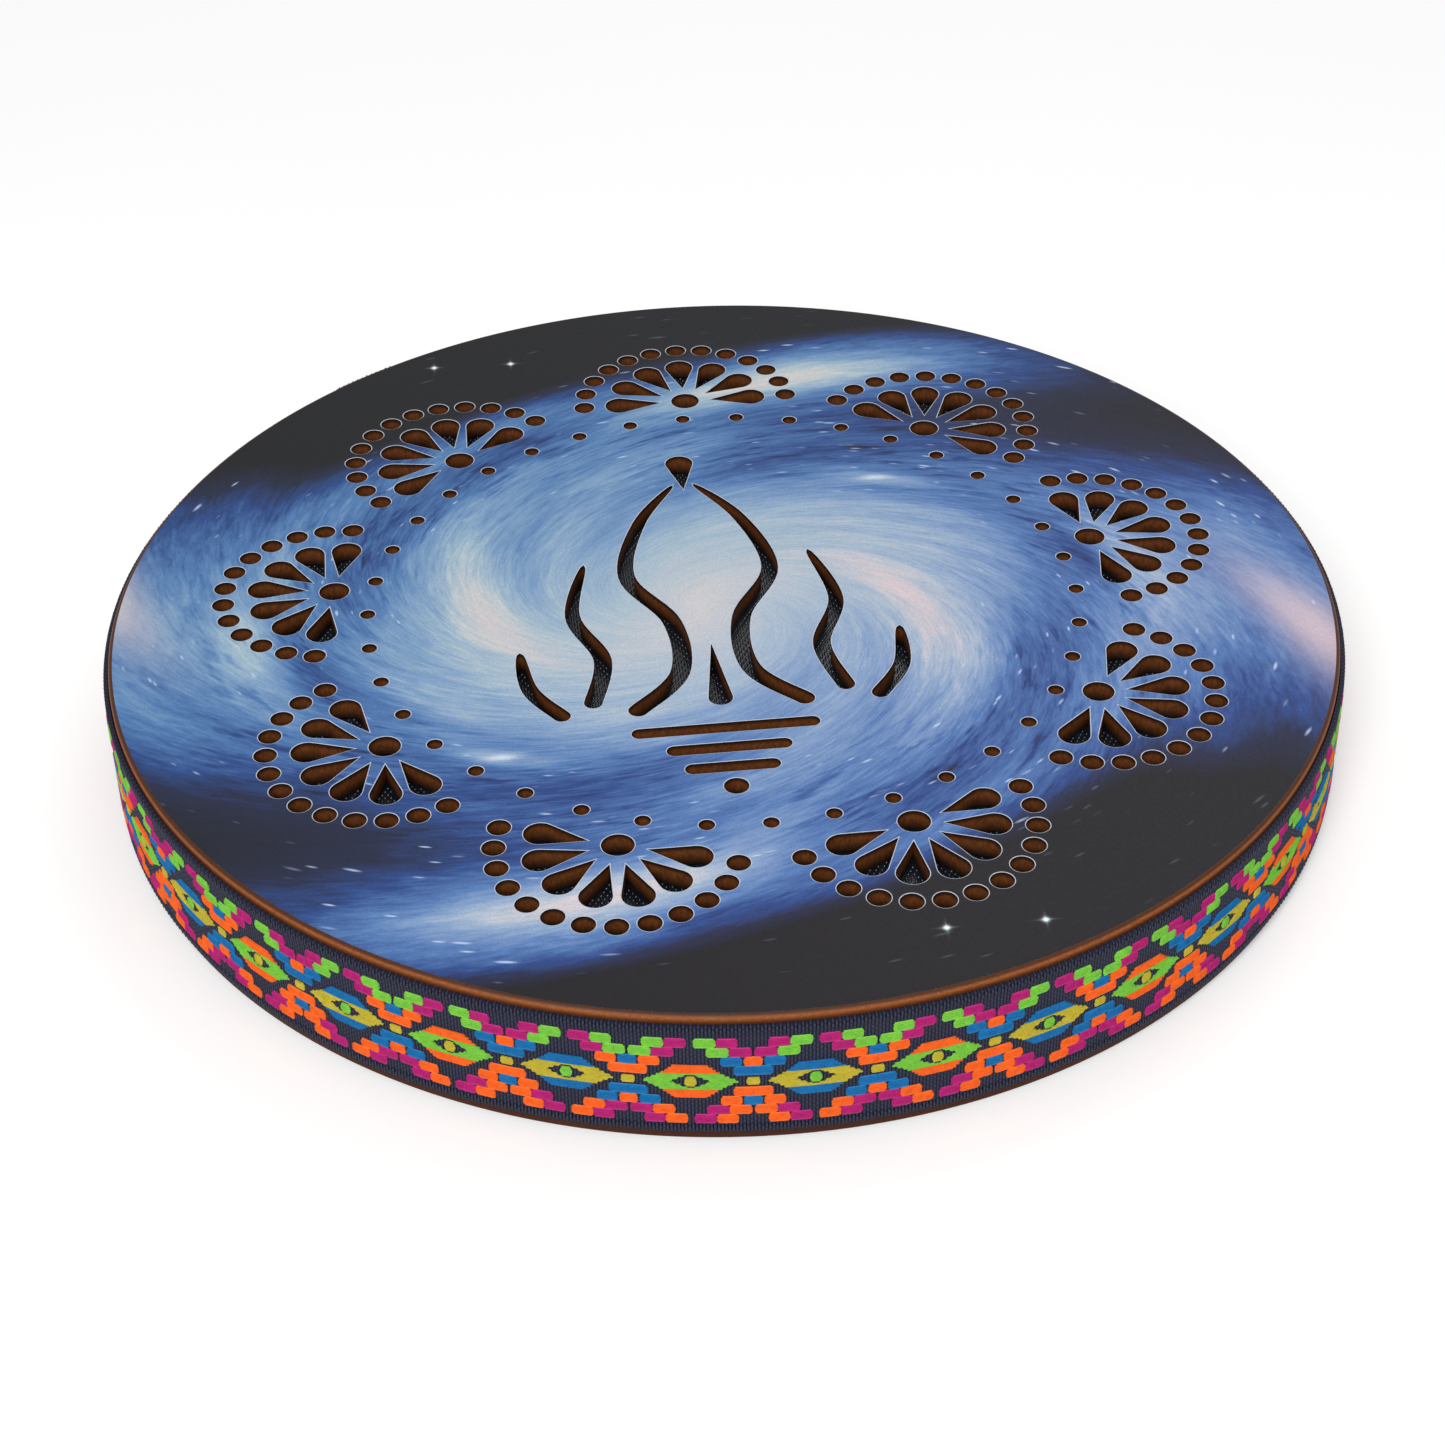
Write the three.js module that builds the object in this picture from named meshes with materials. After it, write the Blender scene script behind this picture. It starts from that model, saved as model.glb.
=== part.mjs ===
// A round ocean drum: two fibreboard plates glued to a bent hoop, a knitted grille cloth behind the
// sound holes of the top plate, a woven ribbon round the rim, and loose steel shot that rolls inside.
// Millimetres, +Z up, with the origin in the middle of the underside.
import * as THREE from "three";

// ---- Driving dimensions ----
const drumRadius = 175;
const topPlateThickness = 6;
const bottomPlateThickness = 4;
const hoopHeight = 31;
const hoopPlyThickness = 3;
const glueGap = 0.3;
const rimSteps = 80; // facets round the drum

const ribbonWidth = 35;
const ribbonThickness = 1.1;
const ribbonBase = 3.6;
const clothThickness = 0.8;
const clampRingThickness = 3;
const clampRingWidth = 10;

const hoopBase = bottomPlateThickness;
const hoopTop = hoopBase + hoopHeight;
const drumHeight = hoopTop + topPlateThickness;
const innerPlyOuterRadius = drumRadius - hoopPlyThickness - glueGap;
const cavityRadius = innerPlyOuterRadius - hoopPlyThickness;

const fullTurn = 2 * Math.PI;
const degrees = Math.PI / 180;

// ---- Finishes ----
const finish = (color, roughness, metalness = 0) =>
  new THREE.MeshStandardMaterial({ color, roughness, metalness });
const finishes = {
  printedBoard: finish(0x3f66b4, 0.45),
  rawBoard: finish(0x6b3a1a, 0.7),
  plywood: finish(0xb98a55, 0.75),
  knit: finish(0x12161f, 0.9),
  ribbon: finish(0x1d2238, 0.85),
  steel: finish(0xb8bcc2, 0.25, 1),
};

const drum = new THREE.Group();

function place(name, geometry, material, x = 0, y = 0, z = 0) {
  const mesh = new THREE.Mesh(geometry, material);
  mesh.name = name;
  mesh.position.set(x, y, z);
  drum.add(mesh);
}

// ---- Outlines ----
const onCircle = (x, y, radius, angle) =>
  new THREE.Vector2(x + radius * Math.cos(angle), y + radius * Math.sin(angle));

// Points along an arc, both ends included.
function arcPoints(x, y, radius, start, end, steps) {
  return Array.from({ length: steps + 1 }, (_, i) =>
    onCircle(x, y, radius, start + ((end - start) * i) / steps),
  );
}

const roundHole = (x, y, radius, steps) =>
  arcPoints(x, y, radius, 0, fullTurn, steps).slice(0, steps);

// A teardrop whose point is at tipDistance from (x, y) and whose round end is centred at endDistance.
function petalHole(x, y, direction, { tipDistance, endDistance, endRadius }) {
  const tip = onCircle(x, y, tipDistance, direction);
  const end = onCircle(x, y, endDistance, direction);
  const sweep = Math.PI / 2 + Math.asin(endRadius / (endDistance - tipDistance));
  const round = arcPoints(end.x, end.y, endRadius, direction - sweep, direction + sweep, 7);
  return [tip, ...round];
}

// A slot with round ends between two points.
function barHole(x, y, length, width) {
  const half = (length - width) / 2;
  const right = arcPoints(x + half, y, width / 2, -Math.PI / 2, Math.PI / 2, 5);
  const left = arcPoints(x - half, y, width / 2, Math.PI / 2, (3 * Math.PI) / 2, 5);
  return [...right, ...left];
}

// A brush stroke along a smooth line: round and full at the root, drawn out to a point at the tip.
function strokeHole(line, width, steps) {
  const curve = new THREE.SplineCurve(line);
  const left = [];
  const right = [];
  for (let i = 0; i < steps; i++) {
    const t = i / steps;
    const middle = curve.getPoint(t);
    const along = curve.getTangent(t);
    const reach = (width / 2) * Math.sqrt(1 - t ** 3);
    const across = new THREE.Vector2(-along.y, along.x).multiplyScalar(reach);
    left.push(middle.clone().add(across));
    right.push(middle.clone().sub(across));
  }
  const heading = curve.getTangent(0).angle();
  const root = arcPoints(line[0].x, line[0].y, width / 2, heading + Math.PI / 2,
    heading + (3 * Math.PI) / 2, 5).slice(1, -1);
  return [curve.getPoint(1), ...left.reverse(), ...root, ...right];
}

const mirrored = (outline, axisX) =>
  outline.map((p) => new THREE.Vector2(2 * axisX - p.x, p.y)).reverse();

// ---- Cut-outs of the top plate ----
const rosetteCount = 9;
const rosetteRingRadius = 113;
const hubHoleRadius = 4.4;
const petalCount = 7;
const petalStep = 30 * degrees;
const petal = { tipDistance: 7.9, endDistance: 21, endRadius: 4.4 };
const beadHoleCount = 13;
const beadHoleStep = 15 * degrees;
const beadArchRadius = 32.1;
const beadHoleRadius = 3.2;
const dotCount = 38;
const dotRingRadius = 102;
const dotRingTurn = 1 * degrees;
const dotRadius = 2.2;

// Half a daisy that opens outwards, inside an arch of round holes.
function rosetteHoles(outward) {
  const hub = onCircle(0, 0, rosetteRingRadius, outward);
  const holes = [roundHole(hub.x, hub.y, hubHoleRadius, 12)];
  for (let i = 0; i < petalCount; i++) {
    const direction = outward + (i - (petalCount - 1) / 2) * petalStep;
    holes.push(petalHole(hub.x, hub.y, direction, petal));
  }
  for (let i = 0; i < beadHoleCount; i++) {
    const direction = outward + (i - (beadHoleCount - 1) / 2) * beadHoleStep;
    const centre = onCircle(hub.x, hub.y, beadArchRadius, direction);
    holes.push(roundHole(centre.x, centre.y, beadHoleRadius, 8));
  }
  return holes;
}

function dotRingHoles() {
  return Array.from({ length: dotCount }, (_, i) => {
    const angle = (i * fullTurn) / dotCount + Math.PI / 2 + dotRingTurn;
    const centre = onCircle(0, 0, dotRingRadius, angle);
    return roundHole(centre.x, centre.y, dotRadius, 6);
  });
}

// A budding lotus of brush strokes over three bars and a dot, on its own axis.
const emblemX = -5.5;
const lotusStrokes = [
  { from: [23, -49], via: [[10, -33], [10, -8], [21, 16], [15, 44]], to: [3, 64], width: 5.6 },
  { from: [35, -44], via: [[31, -24], [38, -2]], to: [33, 24], width: 5.2 },
  { from: [44, -49], via: [[52, -36]], to: [54, -18], width: 5 },
];
const topBud = { y: 61, tipDistance: 0, endDistance: 15, endRadius: 4.2 };
const stem = { y: -20, tipDistance: 0, endDistance: 26, endRadius: 3.4 };
const emblemBars = [
  { y: -59.7, length: 51.6 },
  { y: -68.5, length: 34.1 },
  { y: -77, length: 25.8 },
];
const barWidth = 4.4;
const emblemDot = { y: -85.5, radius: 3.4 };

function emblemHoles() {
  const holes = emblemBars.map(({ y, length }) => barHole(emblemX, y, length, barWidth));
  holes.push(roundHole(emblemX, emblemDot.y, emblemDot.radius, 10));
  holes.push(petalHole(emblemX, topBud.y, Math.PI / 2, topBud));
  holes.push(petalHole(emblemX, stem.y, -Math.PI / 2, stem));
  for (const { from, via, to, width } of lotusStrokes) {
    const line = [from, ...via, to].map(([x, y]) => new THREE.Vector2(emblemX + x, y));
    const stroke = strokeHole(line, width, 4 * (via.length + 1));
    holes.push(stroke, mirrored(stroke, emblemX));
  }
  return holes;
}

// ---- Plates ----
function disc(radius, thickness, holes = []) {
  const shape = new THREE.Shape(roundHole(0, 0, radius, rimSteps));
  shape.holes = holes.map((outline) => new THREE.Path(outline));
  return new THREE.ExtrudeGeometry(shape, { depth: thickness, bevelEnabled: false });
}

function ring(outerRadius, innerRadius, height) {
  return disc(outerRadius, height, [roundHole(0, 0, innerRadius, rimSteps)]);
}

// A strip bent round the drum, from one angle to another.
function bentStrip(outerRadius, thickness, height, start, end, steps = rimSteps) {
  const outer = arcPoints(0, 0, outerRadius, start, end, steps);
  const inner = arcPoints(0, 0, outerRadius - thickness, end, start, steps);
  return new THREE.ExtrudeGeometry(new THREE.Shape([...outer, ...inner]), {
    depth: height,
    bevelEnabled: false,
  });
}

function addPlates() {
  const soundHoles = [...dotRingHoles(), ...emblemHoles()];
  for (let i = 0; i < rosetteCount; i++) {
    soundHoles.push(...rosetteHoles(Math.PI / 2 - (i * fullTurn) / rosetteCount));
  }
  const topPlate = disc(drumRadius, topPlateThickness, soundHoles);
  place("top_plate", topPlate, finishes.printedBoard, 0, 0, hoopTop);
  place("bottom_plate", disc(drumRadius, bottomPlateThickness), finishes.rawBoard);
}

// A strip that goes all the way round, with its two ends almost meeting at the joint angle.
function closedStrip(outerRadius, thickness, height, joint) {
  const halfGap = glueGap / 2 / outerRadius;
  return bentStrip(outerRadius, thickness, height, joint + halfGap, joint + fullTurn - halfGap);
}

// ---- Hoop: two plies bent round each other, with their joints on opposite sides ----
function addHoop() {
  const rear = Math.PI / 2;
  const front = -rear;
  const outerPly = closedStrip(drumRadius, hoopPlyThickness, hoopHeight, rear);
  const innerPly = closedStrip(innerPlyOuterRadius, hoopPlyThickness, hoopHeight, front);
  place("hoop_outer_ply", outerPly, finishes.plywood, 0, 0, hoopBase);
  place("hoop_inner_ply", innerPly, finishes.plywood, 0, 0, hoopBase);
}

// ---- Grille cloth, stretched across the holes and held by a clamp ring ----
function addGrille() {
  const clothRadius = cavityRadius - glueGap;
  const clothBase = hoopTop - clothThickness;
  const clampRing = ring(clothRadius, clothRadius - clampRingWidth, clampRingThickness);
  place("grille_cloth", disc(clothRadius, clothThickness), finishes.knit, 0, 0, clothBase);
  place("cloth_clamp_ring", clampRing, finishes.rawBoard, 0, 0, clothBase - clampRingThickness);
}

// ---- Ribbon: one turn round the rim, with its folded end lapped over its start ----
const lapAngle = 125 * degrees;
const lapLength = 22;
const lapSteps = 5;

function addRibbon() {
  const bandRadius = drumRadius + glueGap + ribbonThickness;
  const lapRadius = bandRadius + glueGap + ribbonThickness;
  const halfLap = lapLength / lapRadius / 2;
  const band = closedStrip(bandRadius, ribbonThickness, ribbonWidth, lapAngle);
  const lap = bentStrip(lapRadius, ribbonThickness, ribbonWidth,
    lapAngle - halfLap, lapAngle + halfLap, lapSteps);
  place("ribbon_band", band, finishes.ribbon, 0, 0, ribbonBase);
  place("ribbon_lap", lap, finishes.ribbon, 0, 0, ribbonBase);
}

// ---- Loose shot: a ring of balls that orbits along the hoop, and lanes of balls that wash across ----
const shotRadius = 2.25;
const shotClearance = 0.1;
const orbitCount = 14;
const orbitRadius = cavityRadius - shotRadius - 0.6;
const orbitUnevenness = 0.12; // radians that a ball strays from its even place
const laneWobble = 7;
const lanes = [
  { name: "lead", y: 0, count: 5, spread: 64 },
  { name: "rear_edge", y: 92, count: 6, spread: 40 },
  { name: "rear_middle", y: 46, count: 7, spread: 60 },
  { name: "front_middle", y: -46, count: 7, spread: 60 },
  { name: "front_edge", y: -92, count: 6, spread: 40 },
];

function addShot() {
  const ball = new THREE.SphereGeometry(shotRadius, 8, 6);
  const z = bottomPlateThickness + shotClearance + shotRadius;
  for (let i = 0; i < orbitCount; i++) {
    const angle = (i * fullTurn) / orbitCount + orbitUnevenness * Math.sin(5 * i);
    const centre = onCircle(0, 0, orbitRadius, angle);
    place(`shot_orbit_${i + 1}`, ball, finishes.steel, centre.x, centre.y, z);
  }
  for (const { name, y, count, spread } of lanes) {
    for (let i = 0; i < count; i++) {
      const x = spread * (i / (count - 1) - 0.5);
      const wobble = laneWobble * Math.sin(2.4 * i + y);
      place(`shot_${name}_${i + 1}`, ball, finishes.steel, x, y + wobble, z);
    }
  }
}

addPlates();
addHoop();
addGrille();
addRibbon();
addShot();

export default drum;
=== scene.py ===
"""An ocean drum: a printed and pierced board over a bent hoop, with a woven ribbon round its rim.

Metres, +Z up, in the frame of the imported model. Lengths written with MM are in millimetres.
"""

import math
import random
from typing import NamedTuple

import bmesh
import bpy
from bpy.props import FloatProperty, FloatVectorProperty, IntProperty, PointerProperty
from mathutils import Matrix, Vector
from mathutils.bvhtree import BVHTree


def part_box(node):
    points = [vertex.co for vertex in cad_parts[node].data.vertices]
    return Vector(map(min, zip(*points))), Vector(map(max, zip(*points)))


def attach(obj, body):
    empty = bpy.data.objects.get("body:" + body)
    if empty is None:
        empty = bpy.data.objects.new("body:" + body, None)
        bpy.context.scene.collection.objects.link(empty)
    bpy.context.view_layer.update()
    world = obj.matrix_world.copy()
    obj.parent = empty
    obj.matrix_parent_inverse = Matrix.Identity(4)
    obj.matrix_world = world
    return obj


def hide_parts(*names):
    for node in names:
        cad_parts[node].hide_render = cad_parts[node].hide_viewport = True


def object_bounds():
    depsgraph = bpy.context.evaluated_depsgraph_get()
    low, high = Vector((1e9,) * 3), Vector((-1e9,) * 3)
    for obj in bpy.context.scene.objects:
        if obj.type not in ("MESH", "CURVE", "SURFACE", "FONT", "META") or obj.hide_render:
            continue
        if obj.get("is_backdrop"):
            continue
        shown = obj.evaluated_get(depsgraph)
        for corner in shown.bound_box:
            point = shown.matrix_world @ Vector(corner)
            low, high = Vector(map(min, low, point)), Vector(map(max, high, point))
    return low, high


bl_info = {
    "name": "Ocean Drum",
    "version": (1, 0, 0),
    "blender": (4, 5, 0),
    "location": "3D View > Sidebar > Drum",
    "description": "Builds a printed ocean drum with a woven ribbon round the packed model",
    "category": "Object",
}

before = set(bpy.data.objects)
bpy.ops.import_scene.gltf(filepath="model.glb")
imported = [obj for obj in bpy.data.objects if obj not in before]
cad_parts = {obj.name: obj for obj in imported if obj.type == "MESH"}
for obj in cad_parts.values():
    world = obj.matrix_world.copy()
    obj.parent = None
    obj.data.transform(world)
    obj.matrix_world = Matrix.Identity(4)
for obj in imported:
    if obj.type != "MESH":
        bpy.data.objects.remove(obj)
CAD_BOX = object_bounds()

MM = 0.001
FULL_TURN = 2 * math.pi
UP = Vector((0, 0, 1))


def outer_radius(node):
    """The distance from the drum's axis to the furthest point of a CAD node."""
    return max(vertex.co.xy.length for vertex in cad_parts[node].data.vertices)


DRUM_RADIUS = outer_radius("top_plate")
BOARD_BASE, BOARD_TOP = (corner.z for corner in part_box("top_plate"))
BOTTOM_BASE, BOTTOM_TOP = (corner.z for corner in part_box("bottom_plate"))
RIBBON_BASE, RIBBON_TOP = (corner.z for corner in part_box("ribbon_band"))
RIBBON_RADIUS = outer_radius("ribbon_band")
LAP_RADIUS = outer_radius("ribbon_lap")
RIBBON_THICKNESS = 1.1 * MM


# ---- Settings ----
def length(name, description, default):
    return FloatProperty(name=name, description=description, default=default, unit="LENGTH")


def colour(name, description, default):
    return FloatVectorProperty(
        name=name, description=description, default=default, size=3, min=0, max=1, subtype="COLOR"
    )


class BoardSettings(bpy.types.PropertyGroup):
    """The two hardboard discs and the print."""

    edge_rounding: length("Edge rounding", "Radius of the top board's sanded outer edge", 1.2 * MM)
    foot_rounding: length("Foot rounding", "Radius of the bottom board's outer edge", 0.45 * MM)
    rim_width: length("Rim width", "Width of the pale rim round each hole", 0.23 * MM)
    film_thickness: length("Film thickness", "Thickness of the printed film", 0.05 * MM)
    edge_colour: colour("Edge", "Sanded edge of the top board", (0.33, 0.088, 0.014))
    # Painted shade: the bottom board is the same hardboard as the top board, given a much darker
    # colour for the shadow it sits in.
    shaded_foot_colour: colour("Foot", "Stained edge of the bottom board", (0.060, 0.017, 0.007))
    wall_colour: colour("Walls", "Scorched walls of the cut-outs", (0.185, 0.056, 0.013))
    primer_colour: colour("Primer", "White primer under the print", (0.60, 0.65, 0.74))


class RibbonSettings(bpy.types.PropertyGroup):
    """The woven ribbon and the threads of its pattern."""

    repeats: IntProperty(name="Repeats", description="Pattern repeats round the rim", default=18)
    ribs: IntProperty(name="Ribs", description="Woven ribs in one repeat", default=68)
    rib_depth: length("Rib depth", "How far the ribs stand out", 0.20 * MM)
    thread_rise: length("Thread rise", "How far the pattern threads stand out", 0.50 * MM)
    navy: colour("Navy", "The ground of the ribbon", (0.0125, 0.0150, 0.038))
    orange: colour("Orange", "Pattern thread", (0.95, 0.165, 0.018))
    green: colour("Green", "Pattern thread", (0.23, 0.62, 0.065))
    magenta: colour("Magenta", "Pattern thread", (0.52, 0.018, 0.200))
    blue: colour("Blue", "Pattern thread", (0.010, 0.190, 0.47))
    yellow: colour("Yellow", "Pattern thread", (0.60, 0.50, 0.045))


class ClothSettings(bpy.types.PropertyGroup):
    """The knit behind the sound holes."""

    knot_pitch: length("Knot pitch", "Distance between the knots of the knit", 1.6 * MM)
    knot_height: length("Knot height", "Height of one knot", 0.85 * MM)
    knit_colour: colour("Knit", "Yarn of the grille cloth", (0.0045, 0.0060, 0.0100))


class StageSettings(bpy.types.PropertyGroup):
    """The floor, the lights and the camera."""

    camera_distance: length("Camera distance", "From the camera to the point it aims at", 0.7986)
    camera_elevation: FloatProperty(
        name="Camera elevation", description="Angle above the floor",
        default=math.radians(37.03), subtype="ANGLE",
    )
    camera_turn: FloatProperty(
        name="Camera turn", description="Angle round the drum from straight ahead",
        default=math.radians(-5.44), subtype="ANGLE",
    )
    camera_roll: FloatProperty(
        name="Camera roll", description="Tilt of the horizon",
        default=math.radians(-1.126), subtype="ANGLE",
    )
    field_of_view: FloatProperty(
        name="Field of view", description="Across the square picture",
        default=math.radians(27.645), subtype="ANGLE",
    )


# ---- Pieces ----
def new_piece(name, bm, materials, body="drum", smooth_below=30):
    """Makes a finished object of a bmesh, smooth across edges flatter than smooth_below degrees."""
    mesh = bpy.data.meshes.new(name)
    bm.to_mesh(mesh)
    bm.free()
    for material in materials:
        mesh.materials.append(material)
    mesh.shade_smooth()
    mesh.set_sharp_from_angle(angle=math.radians(smooth_below))
    piece = bpy.data.objects.new(name, mesh)
    bpy.context.scene.collection.objects.link(piece)
    if body is not None:
        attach(piece, body)
    return piece


def bevel(bm, edges, width, segments):
    bmesh.ops.bevel(
        bm, geom=edges, offset=width, offset_type="OFFSET", affect="EDGES", segments=segments,
        profile=0.5, material=-1, clamp_overlap=False,
    )


def raise_sheet(bm, height):
    """Turns a flat sheet of faces into a closed solid of that height, with its faces outwards."""
    made = bmesh.ops.extrude_face_region(bm, geom=bm.faces[:])["geom"]
    upper = [item for item in made if isinstance(item, bmesh.types.BMVert)]
    bmesh.ops.translate(bm, verts=upper, vec=UP * height)
    bmesh.ops.recalc_face_normals(bm, faces=bm.faces[:])


def sharp_edges(bm, level, outer):
    """The edges at a height that turn a corner, either the outer rim's or the holes'."""
    chosen = []
    for edge in bm.edges:
        if any(abs(vertex.co.z - level) > 1e-6 for vertex in edge.verts):
            continue
        on_rim = all(vertex.co.xy.length > DRUM_RADIUS - 0.05 * MM for vertex in edge.verts)
        if on_rim == outer and edge.calc_face_angle(0) > 1:
            chosen.append(edge)
    return chosen


def copies(bm, template, places):
    """Adds a copy of a small mesh to a bmesh at each place, a matrix."""
    for place in places:
        copy = template.copy()
        copy.transform(place)
        bm.from_mesh(copy)
        bpy.data.meshes.remove(copy)


def grain_template(sides, taper):
    """A small rod of length, width and height 1 along X, drawn in at both ends."""
    bm = bmesh.new()
    bmesh.ops.create_cone(
        bm, cap_ends=True, segments=sides, radius1=0.5, radius2=0.5, depth=1,
        matrix=Matrix.Rotation(math.pi / 2, 4, "Y"),
    )
    ends = [edge for edge in bm.edges if abs(edge.verts[0].co.x - edge.verts[1].co.x) < 1e-4]
    bmesh.ops.bevel(
        bm, geom=ends, offset=taper, offset_type="OFFSET", affect="EDGES", segments=1,
        profile=0.5, material=-1,
    )
    template = bpy.data.meshes.new("grain")
    bm.to_mesh(template)
    bm.free()
    return template


def knot_template():
    """A small round knot of yarn, 1 across."""
    bm = bmesh.new()
    bmesh.ops.create_icosphere(bm, subdivisions=1, radius=0.5)
    template = bpy.data.meshes.new("knot")
    bm.to_mesh(template)
    bm.free()
    return template


def on_rim(azimuth, height, radius, along, across, rise, lean=0.0):
    """The place of a small rod on the drum's side: along the rim, across it and out of it."""
    outward = Vector((math.cos(azimuth), math.sin(azimuth), 0))
    sideways = Vector((-math.sin(azimuth), math.cos(azimuth), 0))
    turned = Matrix.Rotation(lean, 3, outward)
    columns = (turned @ sideways * along, turned @ UP * across, outward * rise)
    place = Matrix(columns).transposed().to_4x4()
    place.translation = outward * radius + UP * height
    return place


# ---- Materials ----
class Value:
    """A socket that takes part in Python sums; each sum adds the Math node that works it out."""

    def __init__(self, finish, socket):
        self.finish = finish
        self.socket = socket

    def __add__(self, other):
        return self.finish.math("ADD", self, other)

    def __sub__(self, other):
        return self.finish.math("SUBTRACT", self, other)

    def __rsub__(self, other):
        return self.finish.math("SUBTRACT", other, self)

    def __mul__(self, other):
        return self.finish.math("MULTIPLY", self, other)

    def __truediv__(self, other):
        return self.finish.math("DIVIDE", self, other)

    __radd__ = __add__
    __rmul__ = __mul__


class Finish:
    """A procedural material, with the steps that several finishes share."""

    def __init__(self, name):
        self.material = bpy.data.materials.new(name)
        self.material.use_nodes = True
        self.tree = self.material.node_tree
        self.tree.nodes.clear()

    def node(self, kind, settings=None, inputs=(), output=0):
        """Adds a node: its settings first, then the values or links of its sockets."""
        made = self.tree.nodes.new(kind)
        for name, value in (settings or {}).items():
            if name == "stops":
                self.set_stops(made.color_ramp, value)
            else:
                setattr(made, name, value)
        named = inputs.items() if isinstance(inputs, dict) else enumerate(inputs)
        for key, value in named:
            if isinstance(value, Value):
                self.tree.links.new(value.socket, made.inputs[key])
            else:
                made.inputs[key].default_value = value
        return Value(self, made.outputs[output])

    @staticmethod
    def set_stops(ramp, stops):
        while len(ramp.elements) < len(stops):
            ramp.elements.new(0.5)
        for element, (position, shade) in zip(ramp.elements, sorted(stops)):
            element.position = position
            element.color = (*shade, 1)

    def math(self, operation, *inputs):
        return self.node("ShaderNodeMath", {"operation": operation}, inputs)

    def place(self):
        return self.node("ShaderNodeTexCoord", output="Object")

    def axes(self, vector):
        first = self.node("ShaderNodeSeparateXYZ", None, [vector])
        outputs = first.socket.node.outputs
        return [Value(self, socket) for socket in outputs]

    def vector(self, x, y, z):
        return self.node("ShaderNodeCombineXYZ", None, [x, y, z])

    def length(self, x, y):
        return self.math("SQRT", x * x + y * y)

    def clamp(self, value, low=0.0, high=1.0):
        return self.node("ShaderNodeClamp", None, [value, low, high])

    def step(self, value, low, high):
        """0 below low, 1 above high, and a smooth rise between."""
        return self.node(
            "ShaderNodeMapRange", {"interpolation_type": "SMOOTHSTEP"}, [value, low, high]
        )

    def noise(self, vector, scale, detail=2.0, roughness=0.5):
        inputs = {"Vector": vector, "Scale": scale, "Detail": detail, "Roughness": roughness}
        return self.node("ShaderNodeTexNoise", None, inputs)

    def cells(self, vector, scale, feature="F1", output="Distance"):
        inputs = {"Vector": vector, "Scale": scale}
        return self.node("ShaderNodeTexVoronoi", {"feature": feature}, inputs, output)

    def ramp(self, value, stops, interpolation="LINEAR"):
        made = self.node("ShaderNodeValToRGB", {"stops": stops}, [value])
        made.socket.node.color_ramp.interpolation = interpolation
        return made

    def mix(self, factor, first, second, blend="MIX"):
        """Mixes two colours, each a socket or three numbers."""
        first, second = (
            shade if isinstance(shade, Value) else (*shade, 1) for shade in (first, second)
        )
        settings = {"data_type": "RGBA", "blend_type": blend}
        return self.node("ShaderNodeMix", settings, {0: factor, 6: first, 7: second}, output=2)

    def bump(self, height, distance, strength=1.0):
        inputs = {"Height": height, "Distance": distance, "Strength": strength}
        return self.node("ShaderNodeBump", None, inputs)

    def done(self, inputs):
        """Puts the shader on and returns the material."""
        shader = self.node("ShaderNodeBsdfPrincipled", None, inputs)
        end = self.tree.nodes.new("ShaderNodeOutputMaterial")
        self.tree.links.new(shader.socket, end.inputs["Surface"])
        return self.material


# A soft dab of light or shade in the swirl of the print. Lengths are parts of the drum's radius
# and angles are degrees round the swirl; each dab comes again on the far side of the middle.
class Dab(NamedTuple):
    radius: float
    angle: float
    reach: float
    sweep: float
    strength: float


PRINT_CENTRE = (-7.0 * MM, -2.6 * MM)
SWIRL_TURN = math.radians(261)
SWIRL_FADE = 2.0
GALAXY_DABS = [
    # the two dark voids
    Dab(1.02, 66, 0.155, 22, -1.6),
    # the bright arms near the rim
    Dab(0.74, 14, 0.09, 7, 0.56),
    Dab(0.93, 18, 0.12, 11, 0.36),
    Dab(0.75, 123, 0.06, 8, 0.24),
    Dab(0.95, 133, 0.15, 11, 0.36),
    Dab(0.97, 151, 0.12, 9, 0.30),
    Dab(0.85, 106, 0.07, 12, 0.22),
    # pale bands round the core
    Dab(0.38, 45, 0.09, 14, 0.24),
    Dab(0.38, 85, 0.12, 22, 0.14),
    Dab(0.50, 103, 0.05, 8, 0.12),
    Dab(0.50, 130, 0.03, 3, 0.30),
    Dab(0.72, 98, 0.05, 20, 0.30),
    Dab(0.67, 52, 0.05, 20, 0.20),
    Dab(0.20, 5, 0.10, 28, 0.09),
    Dab(0.42, 170, 0.10, 12, 0.10),
    # dust lanes and shade between the arms
    Dab(0.60, 60, 0.05, 32, -0.12),
    Dab(0.66, 118, 0.035, 8, -0.22),
    Dab(0.55, 72, 0.03, 10, -0.10),
    Dab(0.60, 42, 0.04, 8, -0.10),
    Dab(0.47, 148, 0.10, 14, -0.20),
    Dab(0.80, 163, 0.14, 12, -0.22),
    Dab(0.97, 178, 0.10, 8, -0.10),
    Dab(0.35, 10, 0.10, 12, -0.06),
    Dab(0.30, 150, 0.12, 30, -0.08),
    Dab(0.20, 165, 0.07, 20, -0.04),
]
PINK_DABS = [Dab(0.34, 49, 0.045, 7, 0.5), Dab(1.0, 134, 0.07, 4, 0.8)]
NIGHT_SKY = [
    (0.00, (0.019, 0.018, 0.021)),
    (0.15, (0.024, 0.029, 0.066)),
    (0.30, (0.031, 0.073, 0.245)),
    (0.50, (0.092, 0.196, 0.435)),
    (0.70, (0.230, 0.345, 0.545)),
    (0.85, (0.390, 0.485, 0.590)),
    (1.00, (0.640, 0.590, 0.600)),
]
STREAM_AXIS = math.radians(92.8)
STREAM_SQUASH = 1.328
DUST_LANE = 0.52
DUST_WIDTH = 0.13
BRIGHT_STARS = [(-78.8, 144.4), (-54.0, 143.7), (65.0, -148.8), (40.0, -148.8)]
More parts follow.
